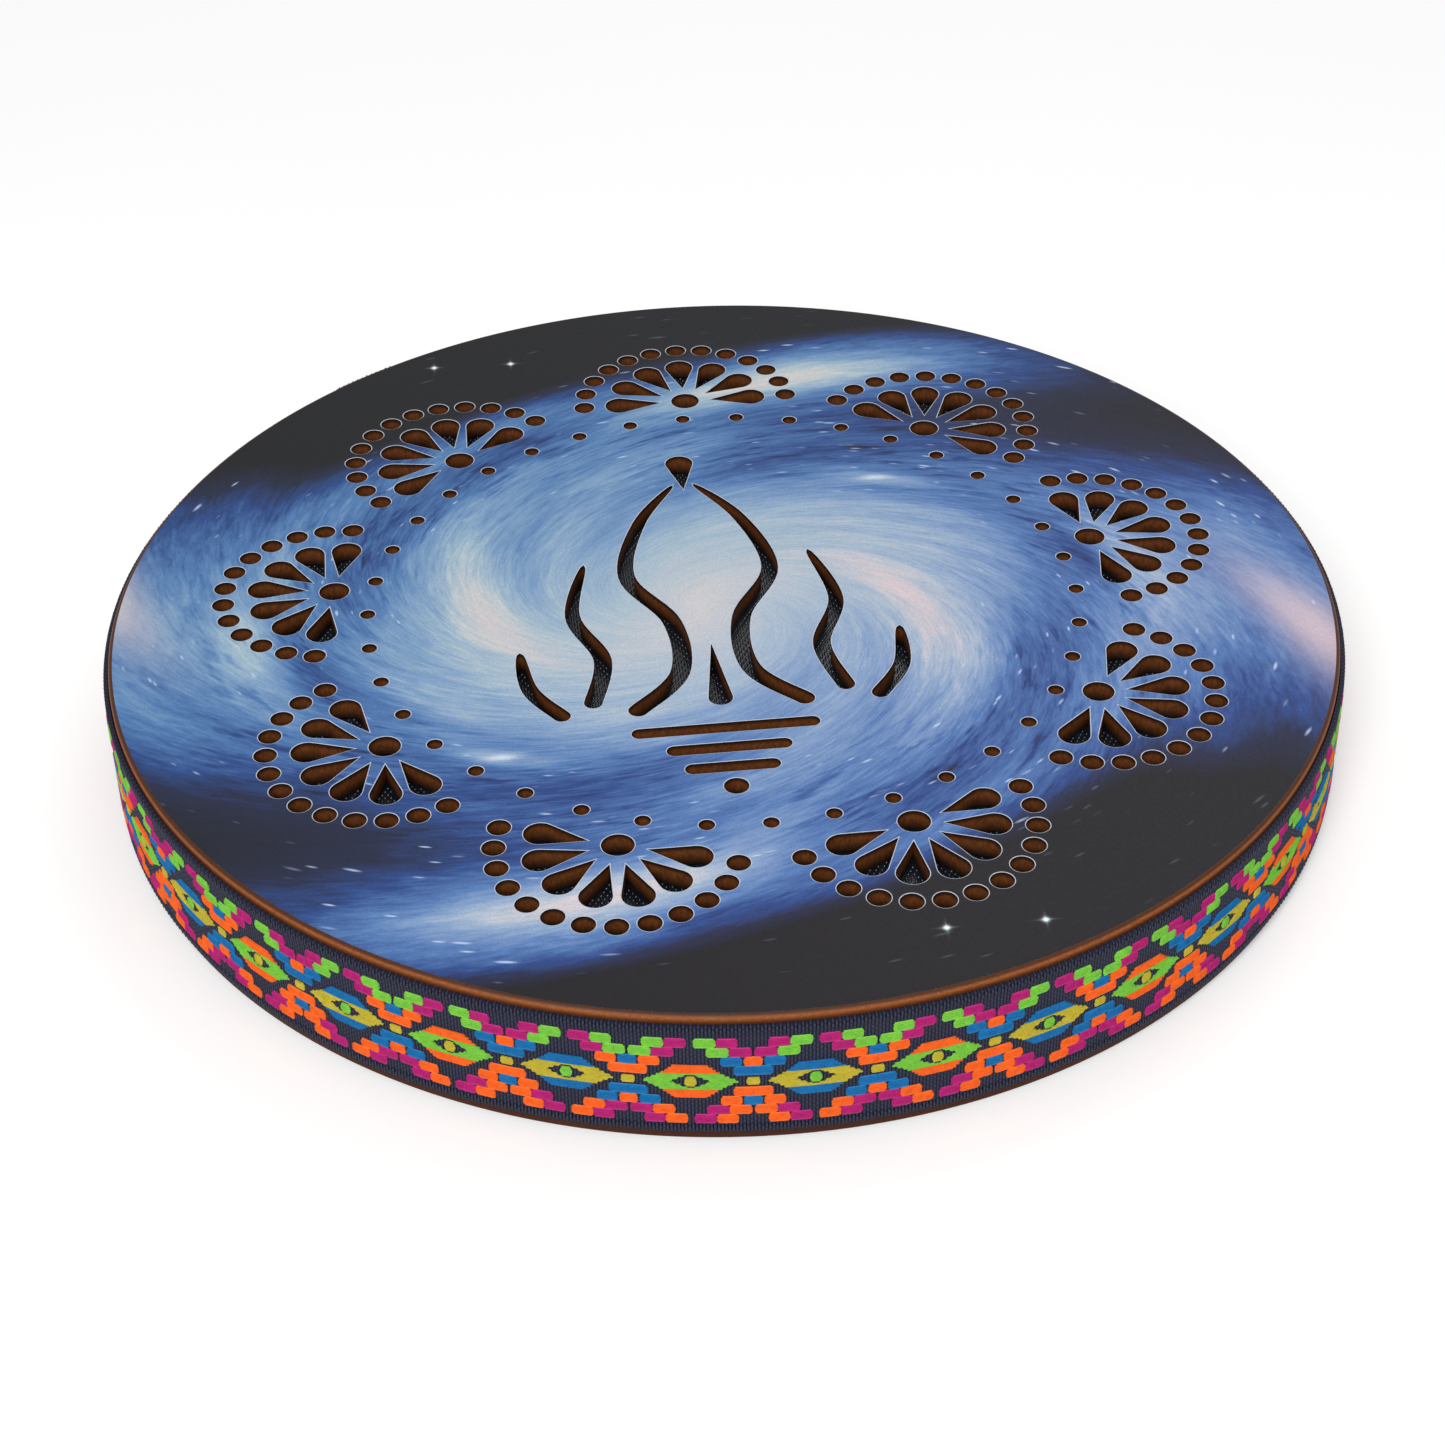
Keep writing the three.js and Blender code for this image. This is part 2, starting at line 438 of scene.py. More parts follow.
HAZY_STARS = [(52.9, 60.2), (-66.7, -65.6)]
HAZE_LENGTH = 4.2
HAZE_WIDTH = 1.3


def swirl_frame(finish, x, y):
    """The distance from the middle of the print, and the angle along its round swirl."""
    across = (x - PRINT_CENTRE[0]) / DRUM_RADIUS
    along = (y - PRINT_CENTRE[1]) / DRUM_RADIUS
    distance = finish.length(across, along)
    angle = finish.math("ARCTAN2", along, across)
    fade = finish.math("EXPONENT", distance * -SWIRL_FADE)
    return across, along, distance, angle - fade * SWIRL_TURN


def dab_sum(finish, distance, swirl, dabs):
    total = None
    for dab in dabs:
        outward = (distance - dab.radius) / dab.reach
        turned = finish.math("WRAP", swirl - math.radians(dab.angle), math.pi / 2, -math.pi / 2)
        turned = turned / math.radians(dab.sweep)
        spread = (outward * outward + turned * turned) * -0.5
        share = finish.math("EXPONENT", spread) * dab.strength
        total = share if total is None else total + share
    return total


def stream_place(finish, across, along):
    """A place in which the streaks of the print run along Z, wrapped round the middle."""
    up = across * math.cos(STREAM_AXIS) + along * math.sin(STREAM_AXIS)
    side = (along * math.cos(STREAM_AXIS) - across * math.sin(STREAM_AXIS)) / STREAM_SQUASH
    reach = finish.length(up, side)
    turn = finish.math("ARCTAN2", side, up)
    turn = turn + finish.math("LOGARITHM", reach + 0.01, math.e) * 1.056
    turn = turn + reach * 3.6 - reach * reach * 1.86
    return finish.math("COSINE", turn), finish.math("SINE", turn), reach


def star_glow(finish, x, y, places, core, flare):
    """Small stars with a round core and four flares."""
    total = None
    for star_x, star_y in places:
        across = finish.math("ABSOLUTE", x - star_x * MM) / MM
        along = finish.math("ABSOLUTE", y - star_y * MM) / MM
        spread = across * across + along * along
        glow = finish.math("EXPONENT", spread / (-core * core))
        beams = finish.math("EXPONENT", across * (-1 / flare) - along * 4)
        beams = beams + finish.math("EXPONENT", along * (-1 / flare) - across * 4)
        star = glow + beams * 0.7
        total = star if total is None else total + star
    return finish.clamp(total)


def galaxy_print():
    """The printed spiral galaxy."""
    finish = Finish("galaxy_print")
    x, y, _ = finish.axes(finish.place())
    across, along, distance, swirl = swirl_frame(finish, x, y)
    tone = 0.98 - distance * 0.85 + dab_sum(finish, distance, swirl, GALAXY_DABS)
    cosine, sine, reach = stream_place(finish, across, along)

    streaks = finish.vector(cosine * 24, sine * 24, reach * 30)
    threads = finish.vector(cosine * 55, sine * 55, reach * 62)
    clouds = finish.vector(cosine * 5, sine * 5, reach * 11)
    clumps = finish.vector(cosine * 12, sine * 12, reach * 26)
    body = finish.step(distance, 0.05, 0.4) * 0.75 + 0.25
    lift = (finish.noise(streaks, 1.0, 3.0, 0.65) - 0.5) * 0.27
    lift = lift + (finish.noise(threads, 1.0, 3.0, 0.6) - 0.5) * 0.30
    lift = lift + (finish.noise(clouds, 1.0, 3.0, 0.6) - 0.5) * 0.36
    lane = (reach - DUST_LANE) / DUST_WIDTH
    lane = finish.math("EXPONENT", lane * lane * -1)
    dust = finish.step(finish.noise(clumps, 1.0, 3.0, 0.55), 0.52, 0.72) * lane * 0.20
    lit = finish.step(tone, 0.02, 0.4) * 0.9 + 0.1
    tone = finish.clamp(tone + (lift * body - dust) * lit)

    shade = finish.ramp(tone, NIGHT_SKY)
    pink = finish.clamp(dab_sum(finish, distance, swirl, PINK_DABS))
    shade = finish.mix(pink, shade, (0.70, 0.56, 0.57))
    teal = finish.step(along - across, -0.9, 0.9)
    warm = finish.mix(teal, (1.03, 0.99, 1.03), (0.94, 1.03, 0.98))
    shade = finish.mix(1.0, shade, warm, "MULTIPLY")

    for dashes, rings, core in ((9, 44, 0.17), (15, 58, 0.19)):
        field = finish.vector(cosine * dashes, sine * dashes, reach * rings)
        spark = 1 - finish.step(finish.cells(field, 1.0), 0.03, core)
        chance, _, _ = finish.axes(finish.cells(field, 1.0, output="Color"))
        spark = spark * finish.step(chance, 0.62, 0.92)
        spark = spark * finish.step(distance, 0.3, 0.5) * finish.step(tone, -0.05, 0.2)
        shade = finish.mix(spark * 0.8, shade, (0.54, 0.66, 0.90))
    stars = star_glow(finish, x, y, BRIGHT_STARS, 0.75, 0.9)
    shade = finish.mix(stars, shade, (0.85, 0.95, 1.0))
    for haze_x, haze_y in HAZY_STARS:
        across_haze = (x - haze_x * MM) / (HAZE_LENGTH * MM)
        along_haze = (y - haze_y * MM) / (HAZE_WIDTH * MM)
        spread = across_haze * across_haze + along_haze * along_haze
        glow = finish.math("EXPONENT", spread * -1) * 0.8
        shade = finish.mix(glow, shade, (0.66, 0.74, 0.84))

    place = finish.place()
    grain = finish.noise(place, 2600.0, 2.0, 0.7)
    speckle = finish.ramp(grain, [(0.3, (0.86,) * 3), (0.7, (1.12,) * 3)])
    shade = finish.mix(1.0, shade, speckle, "MULTIPLY")
    texture = finish.noise(place, 900.0, 3.0, 0.6)
    return finish.done({
        "Base Color": shade,
        "Roughness": finish.step(texture, 0.2, 0.8) * 0.12 + 0.40,
        "Normal": finish.bump(texture, 0.02 * MM, 0.35),
        "Specular IOR Level": 0.12,
    })


def scaled(shade, factor):
    """A colour made darker or lighter, as three numbers."""
    return tuple(min(1.0, part * factor) for part in shade)


def board_flecks(finish):
    """The short fibres of hardboard, as a height."""
    x, y, z = finish.axes(finish.place())
    return finish.noise(finish.vector(x, y, z * 3), 900.0, 4.0, 0.65)


def board_surface(finish, shade, flecks, shine=0.32):
    """The low, waxy shine that every piece of hardboard has."""
    return finish.done({
        "Base Color": shade,
        "Roughness": finish.step(flecks, 0.2, 0.8) * 0.2 + 0.44,
        "Normal": finish.bump(flecks, 0.06 * MM, 0.6),
        "Specular IOR Level": shine,
    })


def cut_hardboard(settings):
    """The top board: a sanded brown edge outside and scorched walls in the cut-outs, both darkened in
    places with painted shade.
    """
    finish = Finish("cut_hardboard")
    place = finish.place()
    x, y, z = finish.axes(place)
    flecks = board_flecks(finish)
    edge = settings.edge_colour
    sanded = finish.mix(finish.step(flecks, 0.25, 0.75), scaled(edge, 0.5), edge)
    # Painted shade: the edge is darkened just above the ribbon, where the ribbon shades it.
    low = 1 - finish.step(z, RIBBON_TOP, RIBBON_TOP + 1.5 * MM)
    sanded = finish.mix(low * 0.7, sanded, scaled(edge, 0.2))
    # Painted shade: a dark band along the top of the rounded edge, just under the print.
    rim_line = finish.step(z, BOARD_TOP - 0.8 * MM, BOARD_TOP - 0.3 * MM)
    sanded = finish.mix(rim_line * 0.85, sanded, scaled(edge, 0.12))

    wall = settings.wall_colour
    streaks = finish.noise(finish.vector(x, y, z * 0.5), 1100.0, 4.0, 0.7)
    walls = finish.mix(finish.step(streaks, 0.3, 0.7), scaled(wall, 0.5), wall)
    # The walls darken towards the top, partly from laser scorch and partly as painted shade, and
    # towards the base as painted shade deep in each hole.
    near_top = finish.step(z, BOARD_TOP - 2.0 * MM, BOARD_TOP - 0.4 * MM)
    near_base = 1 - finish.step(z, BOARD_BASE, BOARD_BASE + 3.8 * MM)
    scorch_and_shade = finish.clamp(near_top + near_base)
    walls = finish.mix(scorch_and_shade * 0.93, walls, scaled(wall, 0.05))
    inside = 1 - finish.step(finish.length(x, y), DRUM_RADIUS - 6 * MM, DRUM_RADIUS - 4 * MM)
    return board_surface(finish, finish.mix(inside, sanded, walls), flecks)


def plain_hardboard(name, shade):
    """Brown hardboard with flecks and faint blotches."""
    finish = Finish(name)
    flecks = board_flecks(finish)
    blotch = finish.noise(finish.place(), 60.0, 3.0, 0.6)
    surface = finish.mix(finish.step(flecks, 0.25, 0.75), scaled(shade, 0.55), scaled(shade, 1.25))
    surface = finish.mix(finish.step(blotch, 0.35, 0.75) * 0.4, surface, scaled(shade, 0.6))
    return board_surface(finish, surface, flecks, shine=0.12)


def primer(settings):
    """The white primer that shows as a thin line round every cut-out."""
    finish = Finish("primer")
    mottle = finish.noise(finish.place(), 700.0, 3.0)
    pale = tuple(settings.primer_colour)
    shade = finish.mix(finish.step(mottle, 0.3, 0.8) * 0.4, pale, (0.16, 0.22, 0.36))
    return finish.done({"Base Color": shade, "Roughness": 0.55, "Specular IOR Level": 0.3})


def plywood():
    """Bent birch plywood: long grain round the hoop and fine pores."""
    finish = Finish("bent_plywood")
    x, y, z = finish.axes(finish.place())
    azimuth = finish.math("ARCTAN2", y, x)
    cosine, sine = finish.math("COSINE", azimuth), finish.math("SINE", azimuth)
    grain_place = finish.vector(cosine * 3, sine * 3, z * 260)
    grain = finish.noise(grain_place, 1.0, 4.0, 0.6)
    pores = finish.noise(finish.vector(x, y, z * 14), 420.0, 3.0)
    shade = finish.mix(finish.step(grain, 0.3, 0.7), (0.32, 0.17, 0.075), (0.52, 0.32, 0.16))
    shade = finish.mix(finish.step(pores, 0.55, 0.8) * 0.5, shade, (0.20, 0.10, 0.045))
    return finish.done({
        "Base Color": shade,
        "Roughness": 0.62 - finish.step(grain, 0.3, 0.7) * 0.12,
        "Normal": finish.bump(grain + pores, 0.08 * MM, 0.6),
    })


def knit_yarn(settings):
    """Dark, slightly shiny warp-knit yarn."""
    finish = Finish("knit_yarn")
    place = finish.place()
    fibre = finish.noise(place, 4200.0, 2.0, 0.6)
    patch = finish.noise(place, 420.0, 2.0)
    dark = tuple(settings.knit_colour)
    light = (0.009, 0.014, 0.023)
    shade = finish.mix(finish.step(patch, 0.35, 0.75), dark, light)
    shade = finish.mix(finish.step(fibre, 0.5, 0.85) * 0.5, shade, (0.018, 0.026, 0.040))
    return finish.done({
        "Base Color": shade,
        "Roughness": finish.step(fibre, 0.2, 0.8) * 0.15 + 0.16,
        "Normal": finish.bump(fibre, 0.05 * MM, 0.4),
        "Specular IOR Level": 0.7,
    })


def rim_place(finish):
    """Lengths in millimetres: round the rim from the ribbon's join, and up it."""
    x, y, z = finish.axes(finish.place())
    azimuth = finish.math("ARCTAN2", y, x) - lap_range()[1]
    return azimuth * (RIBBON_RADIUS / MM), z / MM


def ribbon_ground(settings):
    """The navy ground: upright ribs of warp crossed by fine weft."""
    finish = Finish("ribbon_ground")
    around, height = rim_place(finish)
    place = finish.place()
    pitch = FULL_TURN * RIBBON_RADIUS / MM / (settings.repeats * settings.ribs)
    rib = finish.math("FLOOR", around / pitch)
    crown = finish.math("SINE", (around / pitch - rib) * math.pi)
    parity = finish.math("ABSOLUTE", finish.math("MODULO", rib, 2.0))
    dashes = finish.math("SINE", height * (FULL_TURN / 1.5) + parity * math.pi) * 0.5 + 0.5
    fuzz = finish.noise(place, 2600.0, 2.0, 0.6)
    navy = settings.navy
    # Painted highlight on the crowns of the ribs and painted shade in the valleys between them, with
    # the weft's lighter dashes on the crowns.
    lit = finish.clamp(finish.step(crown, 0.35, 0.95) * (dashes * 0.6 + 0.4))
    shade = finish.mix(lit, scaled(navy, 0.10), scaled(navy, 2.1))
    shade = finish.mix(finish.step(fuzz, 0.35, 0.8) * 0.4, shade, scaled(navy, 1.3))
    return finish.done({
        "Base Color": shade,
        "Roughness": finish.step(fuzz, 0.2, 0.8) * 0.15 + 0.62,
        "Normal": finish.bump(dashes * 0.6 + fuzz * 0.4, 0.20 * MM, 0.8),
        "Specular IOR Level": 0.3,
    })


def satin_thread(name, shade):
    """Shiny embroidery thread: twisted fibres with small changes of tone."""
    finish = Finish(name)
    around, height = rim_place(finish)
    place = finish.place()
    strand = finish.math("SINE", (around * 0.5 + height) * (FULL_TURN / 0.32)) * 0.5 + 0.5
    fibre = finish.noise(finish.vector(around * 0.6, height * 6, 0.0), 1.0, 3.0, 0.6)
    patch = finish.noise(place, 330.0, 2.0)
    tone = finish.mix(finish.step(fibre, 0.3, 0.7), scaled(shade, 0.72), shade[:])
    tone = finish.mix(finish.step(patch, 0.45, 0.8) * 0.5, tone, scaled(shade, 1.12))
    return finish.done({
        "Base Color": tone,
        "Roughness": finish.step(fibre, 0.2, 0.8) * 0.2 + 0.42,
        "Normal": finish.bump(strand * 0.5 + fibre * 0.5, 0.07 * MM, 0.6),
        "Specular IOR Level": 0.28,
    })


def polished_steel():
    """Bright steel with faint tumbling marks."""
    finish = Finish("polished_steel")
    marks = finish.noise(finish.place(), 1500.0, 3.0, 0.6)
    shade = finish.mix(finish.step(marks, 0.3, 0.8), (0.58, 0.59, 0.61), (0.72, 0.72, 0.73))
    return finish.done({
        "Base Color": shade,
        "Metallic": 1.0,
        "Roughness": finish.step(marks, 0.3, 0.8) * 0.15 + 0.14,
    })


def pale_floor():
    finish = Finish("pale_floor")
    mottle = finish.noise(finish.place(), 3.0, 2.0)
    shade = finish.mix(mottle, (0.90, 0.90, 0.90), (0.92, 0.92, 0.92))
    return finish.done({
        "Base Color": shade, "Roughness": 0.8, "Specular IOR Level": 0.1,
        "Emission Color": shade, "Emission Strength": 0.16,
    })


# ---- Sound holes, in millimetres on the board ----
ROSETTE_COUNT = 9
ROSETTE_RING = 113
HUB_RADIUS = 4.4
PETAL_COUNT = 7
PETAL_STEP = math.radians(30)
PETAL = {"tip": 7.9, "end": 21, "radius": 4.4}
BEAD_COUNT = 13
BEAD_STEP = math.radians(15)
BEAD_ARCH = 32.1
BEAD_RADIUS = 3.2
DOT_COUNT = 38
DOT_RING = 102
DOT_TURN = math.radians(1)
DOT_RADIUS = 2.2
EMBLEM_X = -5.5
LOTUS_STROKES = [
    (((23, -49), (10, -33), (10, -8), (21, 16), (15, 44), (3, 64)), 5.6),
    (((35, -44), (31, -24), (38, -2), (33, 24)), 5.2),
    (((44, -49), (52, -36), (54, -18)), 5.0),
]
TOP_BUD = {"y": 61, "end": 15, "radius": 4.2}
STEM = {"y": -20, "end": 26, "radius": 3.4}
BARS = [(-59.7, 51.6), (-68.5, 34.1), (-77, 25.8)]
BAR_WIDTH = 4.4
EMBLEM_DOT = (-85.5, 3.4)


class HoleDrawer:
    """Draws the outlines of the sound holes as loops of edges at one height."""

    def __init__(self, bm, height):
        self.bm = bm
        self.height = height

    def point(self, x, y):
        return Vector((x * MM, y * MM, self.height))

    def vertex(self, x, y):
        return self.bm.verts.new(self.point(x, y))

    def circle(self, x, y, radius, segments):
        bmesh.ops.create_circle(
            self.bm, cap_ends=False, radius=radius * MM, segments=segments,
            matrix=Matrix.Translation(self.point(x, y)),
        )

    def arc(self, x, y, radius, start, sweep, steps):
        """An arc swept from one vertex. Returns its first and last vertices."""
        first = self.vertex(x + radius * math.cos(start), y + radius * math.sin(start))
        swept = bmesh.ops.spin(
            self.bm, geom=[first], cent=self.point(x, y), axis=UP, angle=sweep, steps=steps,
            use_merge=False, use_normal_flip=False, use_duplicate=False,
        )
        return first, swept["geom_last"][0]

    def petal(self, x, y, direction, tip, end, radius):
        """A teardrop with its point towards (x, y) and its round end away from it."""
        sweep = math.pi + 2 * math.asin(radius / (end - tip))
        centre = (x + end * math.cos(direction), y + end * math.sin(direction))
        first, last = self.arc(*centre, radius, direction - sweep / 2, sweep, 22)
        point = self.vertex(x + tip * math.cos(direction), y + tip * math.sin(direction))
        self.bm.edges.new((point, first))
        self.bm.edges.new((last, point))

    def bar(self, x, y, length, width):
        """A slot with round ends."""
        half = (length - width) / 2
        right = self.arc(x + half, y, width / 2, -math.pi / 2, math.pi, 12)
        left = self.arc(x - half, y, width / 2, math.pi / 2, math.pi, 12)
        self.bm.edges.new((right[1], left[0]))
        self.bm.edges.new((left[1], right[0]))

    def stroke(self, line, width, side):
        """A brush stroke, full and round at its root and drawn out to a point at its tip."""
        steps = 10 * (len(line) - 1)
        left, right = [], []
        for i in range(steps):
            t = i / steps
            middle, along = smooth_line(line, t)
            reach = width / 2 * math.sqrt(1 - t**3)
            left.append(middle + Vector((-along.y, along.x)) * reach)
            right.append(middle - Vector((-along.y, along.x)) * reach)
        root, along = smooth_line(line, 0)
        heading = math.atan2(along.y, along.x)
        turns = [heading + math.pi / 2 + math.pi * i / 10 for i in range(1, 10)]
        around = [root + Vector((math.cos(a), math.sin(a))) * (width / 2) for a in turns]
        tip, _ = smooth_line(line, 1)
        outline = [tip, *reversed(left), *around, *right]
        corners = [self.vertex(EMBLEM_X + side * p.x, p.y) for p in outline]
        for first, second in zip(corners, corners[1:] + corners[:1]):
            self.bm.edges.new((first, second))


def smooth_line(points, t):
    """The point and the heading of a smooth line through points, at t from 0 to 1."""
    spans = len(points) - 1
    index = min(int(t * spans), spans - 1)
    u = t * spans - index
    near = [Vector(points[max(0, min(spans, index + i))]) for i in (-1, 0, 1, 2)]
    start, end = (near[2] - near[0]) / 2, (near[3] - near[1]) / 2
    a = 2 * near[1] - 2 * near[2] + start + end
    b = -3 * near[1] + 3 * near[2] - 2 * start - end
    place = a * u**3 + b * u**2 + start * u + near[1]
    heading = a * (3 * u**2) + b * (2 * u) + start
    return place, heading.normalized()


def draw_rosette(drawer, outward):
    """Half a daisy that opens outwards, inside an arch of beads."""
    x, y = ROSETTE_RING * math.cos(outward), ROSETTE_RING * math.sin(outward)
    drawer.circle(x, y, HUB_RADIUS, 40)
    for i in range(PETAL_COUNT):
        direction = outward + (i - (PETAL_COUNT - 1) / 2) * PETAL_STEP
        drawer.petal(x, y, direction, **PETAL)
    for i in range(BEAD_COUNT):
        direction = outward + (i - (BEAD_COUNT - 1) / 2) * BEAD_STEP
        centre = (x + BEAD_ARCH * math.cos(direction), y + BEAD_ARCH * math.sin(direction))
        drawer.circle(*centre, BEAD_RADIUS, 32)


def draw_emblem(drawer):
    """A budding lotus of brush strokes over three bars and a dot."""
    for line, width in LOTUS_STROKES:
        drawer.stroke(line, width, 1)
        drawer.stroke(line, width, -1)
    drawer.petal(EMBLEM_X, TOP_BUD["y"], math.pi / 2, 0, TOP_BUD["end"], TOP_BUD["radius"])
    drawer.petal(EMBLEM_X, STEM["y"], -math.pi / 2, 0, STEM["end"], STEM["radius"])
    for y, bar_length in BARS:
        drawer.bar(EMBLEM_X, y, bar_length, BAR_WIDTH)
    drawer.circle(EMBLEM_X, EMBLEM_DOT[0], EMBLEM_DOT[1], 32)


def pierced_board(height, thickness):
    """A disc with all the sound holes, as a closed solid that stands on height."""
    bm = bmesh.new()
    drawer = HoleDrawer(bm, height)
    drawer.circle(0, 0, DRUM_RADIUS / MM, 360)
    for i in range(ROSETTE_COUNT):
        draw_rosette(drawer, math.pi / 2 - i * FULL_TURN / ROSETTE_COUNT)
    for i in range(DOT_COUNT):
        angle = i * FULL_TURN / DOT_COUNT + math.pi / 2 + DOT_TURN
        drawer.circle(DOT_RING * math.cos(angle), DOT_RING * math.sin(angle), DOT_RADIUS, 24)
    draw_emblem(drawer)
    bmesh.ops.triangle_fill(
        bm, edges=bm.edges[:], use_beauty=True, use_dissolve=False, normal=UP
    )
    raise_sheet(bm, thickness)
    return bm


# How far the pale rim of a cut-out falls from the print to the hole.
RIM_DROP = 0.05 * MM


# ---- Operators ----
class OCEAN_DRUM_OT_top_board(bpy.types.Operator):
    """Build the pierced top board and the printed film on it"""

    bl_idname = "ocean_drum.top_board"
    bl_label = "Top Board"

    def execute(self, context):
        settings = context.scene.drum_boards
        film_gap = 0.01 * MM
        core_top = BOARD_TOP - settings.film_thickness - film_gap
        bm = pierced_board(BOARD_BASE, core_top - BOARD_BASE)
        bevel(bm, sharp_edges(bm, core_top, outer=True), settings.edge_rounding, 5)
        bevel(bm, sharp_edges(bm, BOARD_BASE, outer=True), settings.edge_rounding / 2, 3)
        bevel(bm, sharp_edges(bm, core_top, outer=False), settings.rim_width, 1)
        self.flatten_rims(bm, core_top, settings.rim_width)
        bm.normal_update()

        film = bm.copy()
        level = [face for face in film.faces if face.calc_center_median().z > core_top - 1e-6]
        kept = set(level)
        spare = [face for face in film.faces if face not in kept]
        bmesh.ops.delete(film, geom=spare, context="FACES")
        bmesh.ops.translate(film, verts=film.verts[:], vec=UP * film_gap)
        raise_sheet(film, settings.film_thickness)

        primed_below = core_top - RIM_DROP
        primed_inside = DRUM_RADIUS - settings.edge_rounding
        for face in bm.faces:
            centre = face.calc_center_median()
            primed = centre.z > primed_below and centre.xy.length < primed_inside
            face.material_index = 1 if primed else 0
        board_materials = [cut_hardboard(settings), primer(settings)]
        board = new_piece("top_board", bm, board_materials, smooth_below=25)
        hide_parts("top_plate")
        new_piece("printed_film", film, [galaxy_print()])
        return {"FINISHED"}

    def flatten_rims(self, bm, core_top, width):
        """Lift the outer side of the rim bevels until the rims are nearly level."""
        near = DRUM_RADIUS - 4 * MM
        for vertex in bm.verts:
            on_bevel = core_top - 1.5 * width < vertex.co.z < core_top - 0.5 * width
            if on_bevel and vertex.co.xy.length < near:
                vertex.co.z = core_top - RIM_DROP


class OCEAN_DRUM_OT_bottom_board(bpy.types.Operator):
    """Build the plain bottom board"""

    bl_idname = "ocean_drum.bottom_board"
    bl_label = "Bottom Board"

    def execute(self, context):
        settings = context.scene.drum_boards
        bm = bmesh.new()
        bmesh.ops.create_circle(
            bm, cap_ends=True, radius=DRUM_RADIUS, segments=360,
            matrix=Matrix.Translation(UP * BOTTOM_BASE),
        )
        raise_sheet(bm, BOTTOM_TOP - BOTTOM_BASE)
        for level in (BOTTOM_BASE, BOTTOM_TOP):
            bevel(bm, sharp_edges(bm, level, outer=True), settings.foot_rounding, 4)
        # The bottom board's dark colour is painted shade on plain hardboard.
        material = plain_hardboard("stained_hardboard", settings.shaded_foot_colour)
        board = new_piece("bottom_board", bm, [material])
        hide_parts("bottom_plate")
        return {"FINISHED"}


class OCEAN_DRUM_OT_hoop(bpy.types.Operator):
    """Finish the two plies of the hoop and the ring that holds the cloth"""

    bl_idname = "ocean_drum.hoop"
    bl_label = "Hoop"

    def execute(self, context):
        settings = context.scene.drum_boards
        finishes = {
            "hoop_outer_ply": plywood(),
            "hoop_inner_ply": plywood(),
            "cloth_clamp_ring": plain_hardboard("ring_board", settings.wall_colour),
        }
        for node, material in finishes.items():
            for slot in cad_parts[node].material_slots:
                slot.material = material
        return {"FINISHED"}


class OCEAN_DRUM_OT_grille_cloth(bpy.types.Operator):
    """Build the knitted grille cloth, with its knots where the sound holes show them"""

    bl_idname = "ocean_drum.grille_cloth"
    bl_label = "Grille Cloth"

    def execute(self, context):
        settings = context.scene.drum_cloth
        base, top = (corner.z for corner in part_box("grille_cloth"))
        radius = outer_radius("grille_cloth")
        surface = top - settings.knot_height / 2
        board = bpy.data.objects["top_board"]
        over = BVHTree.FromObject(board, context.evaluated_depsgraph_get())
        chance = random.Random(4)

        bm = bmesh.new()
        bmesh.ops.create_circle(
            bm, cap_ends=True, radius=radius, segments=180, matrix=Matrix.Translation(UP * base)
        )
        raise_sheet(bm, surface - base)
        knot = knot_template()
        pitch = settings.knot_pitch
        rows = int(DRUM_RADIUS / pitch)
        places = []
        for row in range(-rows, rows + 1):
            for column in range(-rows, rows + 1):
                shift = 0.5 if row % 2 else 0.0
                spot = Vector(((column + shift) * pitch, row * pitch * 0.87, top))
                if spot.length > radius - pitch or over.ray_cast(spot, UP, 0.01)[0] is not None:
                    continue
                turn = Matrix.Rotation(chance.uniform(0.5, 1.1), 4, "Z")
                size = (pitch * chance.uniform(0.88, 1.0), pitch * 0.72, settings.knot_height)
                stretch = Matrix.Diagonal((*size, 1))
                places.append(Matrix.Translation((spot.x, spot.y, surface)) @ turn @ stretch)
        copies(bm, knot, places)
        cloth = new_piece("grille_knit", bm, [knit_yarn(settings)], smooth_below=80)
        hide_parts("grille_cloth")
        return {"FINISHED"}


STEPS_PER_RIB = 4


